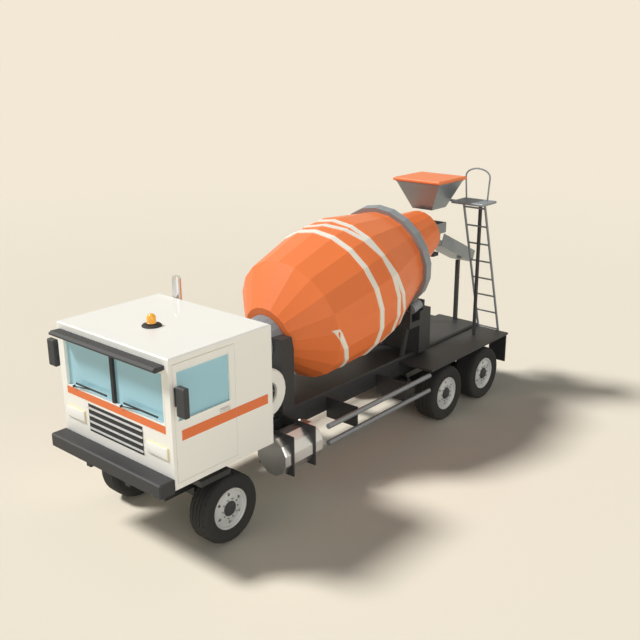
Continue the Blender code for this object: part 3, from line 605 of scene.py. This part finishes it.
class MIXER_OT_cab_front(bpy.types.Operator):
    """Dresses the cab's front: stripe, grille, lamps, wipers, screen frame and centre post"""
    bl_idname = "mixer.cab_front"
    bl_label = "Cab Front"

    def execute(self, context):
        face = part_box("cab_shell")[0].y
        screen_low, screen_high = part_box("windscreen")
        proud = sizes().stripe_height

        mesh = bmesh.new()
        slab(mesh, (-1.12, 1.12), (face - proud, face - 0.0002), (2.070, 2.180))
        piece("front_stripe", mesh, "truck", "stripe")

        mesh = bmesh.new()
        slab(mesh, (-0.62, 0.62), (face - 0.004, face - 0.0002), (1.600, 2.030))
        piece("grille_backing", mesh, "truck", "seal")
        mesh = bmesh.new()
        for z in GRILLE_HEIGHTS:
            slab(mesh, (-0.62, 0.62), (face - 0.022, face - 0.003), (z - 0.014, z + 0.014), 0.004)
        piece("grille_bars", mesh, "truck", "rim")

        for name, side in (("left", 1), ("right", -1)):
            x = sorted((side * 0.72, side * 1.15))
            mesh = bmesh.new()
            slab(mesh, (x[0] - 0.008, x[1] + 0.008), (face - 0.012, face - 0.0002),
                 (1.692, 1.878), 0.004)
            piece(f"lamp_edge_{name}", mesh, "truck", "lamp_edge")
            mesh = bmesh.new()
            slab(mesh, x, (face - 0.026, face - 0.010), (1.700, 1.870), 0.010, 3)
            piece(f"headlamp_{name}", mesh, "truck", "lens", smooth=40)

        rubber = sizes().seal_width
        outline = [(screen_low.x - 0.004, face - 0.006, screen_low.z - 0.004),
                   (screen_high.x + 0.004, face - 0.006, screen_low.z - 0.004),
                   (screen_high.x + 0.004, face - 0.006, screen_high.z + 0.004),
                   (screen_low.x - 0.004, face - 0.006, screen_high.z + 0.004)]
        mesh = bmesh.new()
        border(mesh, outline, rubber, (0, 0.050, 0))
        piece("screen_frame", mesh, "truck", "cab")
        mesh = bmesh.new()
        slab(mesh, (-0.032, 0.032), (face + 0.002, face + 0.0448),
             (screen_low.z, screen_high.z), 0.004)
        piece("screen_post", mesh, "truck", "seal")

        for name, pivot, tip in (("left", 0.20, 1.00), ("right", -0.92, -0.12)):
            mesh = bmesh.new()
            z = screen_low.z + 0.032
            bar(mesh, (pivot, face - 0.03, z), (pivot, face + 0.002, z), 0.020, 16)
            bar(mesh, (pivot, face - 0.020, z), (tip - 0.35, face - 0.018, z + 0.060), 0.009, 8)
            slab(mesh, (pivot + 0.06, tip), (face - 0.026, face - 0.008), (z + 0.050, z + 0.074),
                 0.005)
            piece(f"wiper_{name}", mesh, "truck", "seal")
        return {'FINISHED'}


class MIXER_OT_cab_sides(bpy.types.Operator):
    """Dresses doors and cab sides: stripes, window frames, handles and mirror glass"""
    bl_idname = "mixer.cab_sides"
    bl_label = "Cab Sides"

    def execute(self, context):
        shell_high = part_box("cab_shell")[1]
        proud = sizes().stripe_height
        rubber = sizes().seal_width
        for name, side in (("left", 1), ("right", -1)):
            body = f"door_{name}_body"
            skin = side * shell_high.x
            glass_low, glass_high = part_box(f"door_glass_{name}")
            front, rear = glass_low.y, glass_high.y
            door_rear = front - 0.0553 + 1.098
            z = (1.958, 2.106)
            x = sorted((skin + side * 0.0002, skin + side * proud))
            mesh = bmesh.new()
            slab(mesh, x, (front + 0.050, door_rear - 0.001), z)
            piece(f"door_stripe_{name}", mesh, body, "stripe")
            mesh = bmesh.new()
            slab(mesh, x, (door_rear + 0.006, shell_high.y - 0.10), z)
            piece(f"cab_stripe_{name}", mesh, "truck", "stripe")

            edge = skin + side * 0.004
            outline = [(edge, front - 0.004, glass_low.z - 0.004),
                       (edge, rear + 0.004, glass_low.z - 0.004),
                       (edge, rear + 0.004, glass_high.z + 0.004),
                       (edge, front - 0.004, glass_high.z + 0.004)]
            mesh = bmesh.new()
            border(mesh, outline, rubber * 0.6, (-side * 0.034, 0, 0))
            piece(f"window_frame_{name}", mesh, body, "cab")

            mesh = bmesh.new()
            y = front + 0.74
            slab(mesh, sorted((skin, skin + side * 0.034)), (y, y + 0.17), (2.145, 2.175), 0.008)
            slab(mesh, sorted((skin - side * 0.002, skin + side * 0.006)),
                 (y - 0.01, y + 0.18), (2.118, 2.190), 0.002)
            piece(f"door_handle_{name}", mesh, body, "chrome")

            mirror_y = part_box(f"mirror_{name}")[0].y + 0.0902
            mesh = bmesh.new()
            slab(mesh, sorted((side * 1.388, side * 1.532)), (mirror_y, mirror_y + 0.0058),
                 (2.43, 2.79), 0.003)
            piece(f"mirror_glass_{name}", mesh, body, "silvered")
        return {'FINISHED'}


class MIXER_OT_beacon(bpy.types.Operator):
    """Turns the roof beacon: a dark base and a rounded amber dome"""
    bl_idname = "mixer.beacon"
    bl_label = "Beacon"

    def execute(self, context):
        low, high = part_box("beacon")
        foot = Vector(((low.x + high.x) / 2, (low.y + high.y) / 2, low.z))
        mesh = bmesh.new()
        lathe(mesh, [(0.0, 0.0), (0.144, 0.0), (0.144, 0.012), (0.132, 0.024), (0.082, 0.028),
                     (0.080, 0.044), (0.0, 0.044)], foot, (0, 0, 1), 40)
        piece("beacon_base", mesh, "truck", "seal", ("beacon",), smooth=35,
              flip=True)
        mesh = bmesh.new()
        dome = [(0.0, 0.0443), (0.072, 0.0443), (0.072, 0.052), (0.068, 0.056), (0.067, 0.120)]
        for step in range(1, 9):
            turn = math.radians(90 * step / 8)
            dome.append((0.067 * math.cos(turn), 0.120 + 0.066 * math.sin(turn)))
        lathe(mesh, dome, foot, (0, 0, 1), 40)
        piece("beacon_dome", mesh, "truck", "amber", smooth=40, flip=True)
        return {'FINISHED'}


class MIXER_OT_tank_fittings(bpy.types.Operator):
    """Fits the water tank's manhole lids with their bolts and the fuel tank's cap"""
    bl_idname = "mixer.tank_fittings"
    bl_label = "Tank Fittings"

    def execute(self, context):
        low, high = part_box("water_tank")
        centre = (low + high) / 2
        for name, side in (("left", 1), ("right", -1)):
            x = centre.x + side * (high.x - low.x) / 2
            mesh = bmesh.new()
            lathe(mesh, [(0.0, 0.042), (0.192, 0.042), (0.196, 0.0485), (0.0, 0.0485)],
                  (x, centre.y, centre.z), (-side, 0, 0), 32)
            piece(f"tank_manhole_{name}", mesh, "truck", "seal", smooth=35,
                  flip=True)
            mesh = bmesh.new()
            places = [Vector((x - side * 0.042, centre.y + 0.165 * math.cos(turn),
                              centre.z + 0.165 * math.sin(turn)))
                      for turn in (math.radians(45 * index) for index in range(8))]
            bolts(mesh, places, (side, 0, 0), 0.012, 0.012)
            piece(f"manhole_bolts_{name}", mesh, "truck", "zinc")

        low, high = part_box("fuel_tank")
        centre = (low + high) / 2
        radius = (high.z - low.z) / 2
        mesh = bmesh.new()
        lean = Vector((-0.35, 0, 1)).normalized()
        place = Vector((centre.x, high.y - 0.12, centre.z)) + lean * (radius - 0.02)
        bar(mesh, place, place + lean * 0.045, 0.042, 20)
        bar(mesh, place + lean * 0.045, place + lean * 0.062, 0.050, 8)
        piece("fuel_cap", mesh, "truck", "chrome")
        return {'FINISHED'}


class MIXER_OT_frame_fittings(bpy.types.Operator):
    """Bolts the frame together and adds the rear lamps"""
    bl_idname = "mixer.frame_fittings"
    bl_label = "Frame Fittings"

    def execute(self, context):
        radius = sizes().bolt_radius
        low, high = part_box("sub_frame")
        rail = 0.50
        mesh = bmesh.new()
        count = 12
        for side in (-1, 1):
            places = [Vector((side * rail, low.y + 0.15 + (high.y - low.y - 0.4) * i / (count - 1),
                              z)) for i in range(count) for z in (1.08, 0.96)]
            bolts(mesh, places, (side, 0, 0), radius, 0.012)
        piece("rail_bolts", mesh, "truck", "chassis")

        for name, side in (("left", 1), ("right", -1)):
            low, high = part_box(f"side_guard_{name}")
            tube = GUARD_RADIUS
            x = side * (max(abs(low.x), abs(high.x)) - tube)
            inner = side * min(abs(low.x), abs(high.x))
            mesh = bmesh.new()
            for z in (low.z + tube, high.z - tube):
                bar(mesh, (x, low.y, z), (x, high.y, z), tube, 24)
            piece(f"guard_rails_{name}", mesh, "truck", "tube",
                  (f"side_guard_{name}",), smooth=40)
            mesh = bmesh.new()
            for place in GUARD_CARRIERS:
                slab(mesh, sorted((inner, x - side * tube * 0.9)),
                     (low.y + place, low.y + place + 0.030), (low.z + 0.025, high.z + 0.010), 0.004)
            piece(f"guard_carriers_{name}", mesh, "truck", "chassis",
                  (f"side_guard_{name}",))

        low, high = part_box("rear_pedestal")
        mesh = bmesh.new()
        places = [Vector((x, high.y, z)) for x in (-0.5, -0.25, 0.25, 0.5)
                  for z in (low.z + 0.10, low.z + 0.50)]
        bolts(mesh, places, (0, 1, 0), radius, 0.012)
        piece("pedestal_bolts", mesh, "truck", "chassis")

        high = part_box("chassis_frame")[1]
        for name, side in (("left", 1), ("right", -1)):
            mesh = bmesh.new()
            slab(mesh, sorted((side * 0.52, side * 0.80)), (high.y - 0.012, high.y + 0.018),
                 (1.005, 1.095), 0.008)
            slab(mesh, sorted((side * 0.46, side * 0.56)), (high.y - 0.030, high.y - 0.010),
                 (1.02, 1.08))
            piece(f"rear_lamp_{name}", mesh, "truck", "red_lens", smooth=40)
        return {'FINISHED'}


class MIXER_OT_hopper_trim(bpy.types.Operator):
    """Rolls the hopper's edge and lays treads on the platform"""
    bl_idname = "mixer.hopper_trim"
    bl_label = "Hopper Trim"

    def execute(self, context):
        low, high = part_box("hopper")
        mesh = bmesh.new()
        z = high.z - 0.012
        corners = [Vector((x, y, z)) for x, y in ((low.x, low.y), (high.x, low.y),
                                                  (high.x, high.y), (low.x, high.y))]
        middle = sum(corners, Vector()) / 4
        corners = [corner + (middle - corner).normalized() * 0.004 for corner in corners]
        for start, end in zip(corners, corners[1:] + corners[:1]):
            bar(mesh, start, end, 0.010, 10)
        piece("hopper_rim", mesh, "truck", "machinery")

        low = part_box("platform")[0]
        mesh = bmesh.new()
        for index in range(7):
            y = low.y + 0.08 + index * 0.062
            slab(mesh, (0.42, 1.02), (y, y + 0.012), (3.998, 4.004))
        piece("platform_treads", mesh, "truck", "machinery")
        return {'FINISHED'}


class MIXER_OT_seats(bpy.types.Operator):
    """Upholsters the two seats and boxes in their plinth"""
    bl_idname = "mixer.seats"
    bl_label = "Seats"

    def execute(self, context):
        low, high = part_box("seats")
        mesh = bmesh.new()
        slab(mesh, (low.x, high.x), (low.y + 0.04, high.y - 0.16), (low.z, 1.52), 0.012)
        piece("seat_plinth", mesh, "truck", "moulding", ("seats",))
        for name, middle in (("left", 0.60), ("right", -0.60)):
            cushion = self.pad(0.52, 0.50, 0.25, 3)
            cushion.transform(Matrix.Translation((middle, low.y + 0.27, 1.655)))
            made = piece(f"seat_cushion_{name}", cushion, "truck", "cloth",
                         smooth=180)
            soften(made)
            back = self.pad(0.50, 0.15, 0.78, 3)
            lean = Matrix.Rotation(math.radians(-11), 4, 'X')
            back.transform(Matrix.Translation((middle, low.y + 0.68, 2.12)) @ lean)
            made = piece(f"seat_back_{name}", back, "truck", "cloth", smooth=180)
            soften(made)
        return {'FINISHED'}

    def pad(self, width, depth, height, cuts):
        """A crowned block whose sides pull in between its corners."""
        mesh = bmesh.new()
        bmesh.ops.create_cube(mesh, size=1.0)
        bmesh.ops.subdivide_edges(mesh, edges=mesh.edges, cuts=cuts, use_grid_fill=True)
        for vert in mesh.verts:
            u, v, w = (2 * value for value in vert.co)
            crown = 0.06 * (1 - u * u) * (1 - v * v)
            pull = 0.04 * (1 - w * w)
            vert.co = Vector((u / 2 * width * (1 - pull), v / 2 * depth * (1 - pull),
                              w / 2 * height * (1 + crown)))
        return mesh


def soften(made):
    """Two subdivision levels, the same on screen and in the render."""
    modifier = made.modifiers.new("soften", 'SUBSURF')
    modifier.levels = 2
    modifier.render_levels = 2


class MIXER_OT_stage(bpy.types.Operator):
    """Sets the floor, the background, the lamps and the camera"""
    bl_idname = "mixer.stage"
    bl_label = "Stage"

    def execute(self, context):
        scene = context.scene
        scene.view_settings.view_transform = 'Standard'
        tint = (*colours().backdrop, 1)

        mesh = bmesh.new()
        bmesh.ops.create_circle(mesh, cap_ends=True, segments=96, radius=400)
        data = bpy.data.meshes.new("floor")
        mesh.to_mesh(data)
        mesh.free()
        floor = bpy.data.objects.new("floor", data)
        scene.collection.objects.link(floor)
        paint = bpy.data.materials.new("matt_studio_floor")
        paint.use_nodes = True
        shader = paint.node_tree.nodes["Principled BSDF"]
        shader.inputs["Base Color"].default_value = tint
        shader.inputs["Roughness"].default_value = 1.0
        shader.inputs["Specular IOR Level"].default_value = 0.0
        tree = paint.node_tree
        place = add(tree, "ShaderNodeTexCoord").outputs["Object"]
        reach = add(tree, "ShaderNodeVectorMath", {0: place}, operation='LENGTH').outputs["Value"]
        far = add(tree, "ShaderNodeMapRange", {"Value": reach, "From Min": 14.0,
                                               "From Max": 30.0}).outputs["Result"]
        glow = add(tree, "ShaderNodeEmission", {"Color": tint})
        both = add(tree, "ShaderNodeMixShader", {0: far, 1: shader.outputs[0],
                                                 2: glow.outputs[0]})
        tree.links.new(both.outputs[0], tree.nodes["Material Output"].inputs["Surface"])
        data.materials.append(paint)

        world = bpy.data.worlds.new("studio")
        scene.world = world
        world.use_nodes = True
        tree = world.node_tree
        background = tree.nodes["Background"]
        path = add(tree, "ShaderNodeLightPath")
        seen = add(tree, "ShaderNodeMath", {0: path.outputs["Is Camera Ray"],
                                            1: path.outputs["Is Glossy Ray"]}, operation='MAXIMUM')
        seen = add(tree, "ShaderNodeMath", {0: seen.outputs[0],
                                            1: path.outputs["Is Transmission Ray"]},
                   operation='MAXIMUM')
        sky = add(tree, "ShaderNodeMix", {"Factor": seen.outputs[0], "A": (0.12, 0.13, 0.135, 1),
                                          "B": tint}, data_type='RGBA')
        tree.links.new(sky.outputs[2], background.inputs["Color"])

        for name, direction, strength, softness in LAMPS:
            lamp = bpy.data.lights.new(name, 'SUN')
            lamp.energy = strength
            lamp.angle = math.radians(softness)
            holder = bpy.data.objects.new(name, lamp)
            holder.rotation_euler = Vector(direction).to_track_quat('Z', 'Y').to_euler()
            scene.collection.objects.link(holder)

        camera = bpy.data.cameras.new("camera")
        camera.lens = sizes().lens
        camera.clip_end = 2000
        holder = bpy.data.objects.new("camera", camera)
        holder.location = CAMERA_PLACE
        turn = (Matrix.Rotation(math.radians(CAMERA_TURN), 4, 'Z')
                @ Matrix.Rotation(math.radians(90 - CAMERA_DIP), 4, 'X')
                @ Matrix.Rotation(math.radians(CAMERA_ROLL), 4, 'Z'))
        holder.rotation_euler = turn.to_euler()
        scene.collection.objects.link(holder)
        scene.camera = holder
        return {'FINISHED'}


OPERATORS = (MIXER_OT_stage, MIXER_OT_finishes, MIXER_OT_drum_bands, MIXER_OT_tyres,
             MIXER_OT_rims, MIXER_OT_cab_front, MIXER_OT_cab_sides, MIXER_OT_beacon,
             MIXER_OT_tank_fittings, MIXER_OT_frame_fittings, MIXER_OT_hopper_trim,
             MIXER_OT_seats)


class MIXER_PT_panel(bpy.types.Panel):
    """Lists the truck's pieces in the sidebar"""
    bl_idname = "MIXER_PT_panel"
    bl_label = "Mixer Truck"
    bl_space_type = 'VIEW_3D'
    bl_region_type = 'UI'
    bl_category = "Mixer Truck"

    def draw(self, context):
        for group in (context.scene.mixer_colours, context.scene.mixer_sizes):
            for name in group.__annotations__:
                self.layout.prop(group, name)
        for operator in OPERATORS:
            self.layout.operator(operator.bl_idname)


CLASSES = (MixerColours, MixerSizes, *OPERATORS, MIXER_PT_panel)


def register():
    for item in CLASSES:
        bpy.utils.register_class(item)
    bpy.types.Scene.mixer_colours = bpy.props.PointerProperty(type=MixerColours)
    bpy.types.Scene.mixer_sizes = bpy.props.PointerProperty(type=MixerSizes)


def unregister():
    del bpy.types.Scene.mixer_sizes
    del bpy.types.Scene.mixer_colours
    for item in reversed(CLASSES):
        bpy.utils.unregister_class(item)


def main():
    register()
    bpy.ops.mixer.stage()
    bpy.ops.mixer.finishes()
    bpy.ops.mixer.drum_bands()
    bpy.ops.mixer.tyres()
    bpy.ops.mixer.rims()
    bpy.ops.mixer.cab_front()
    bpy.ops.mixer.cab_sides()
    bpy.ops.mixer.beacon()
    bpy.ops.mixer.tank_fittings()
    bpy.ops.mixer.frame_fittings()
    bpy.ops.mixer.hopper_trim()
    bpy.ops.mixer.seats()


if __name__ == "__main__":
    main()
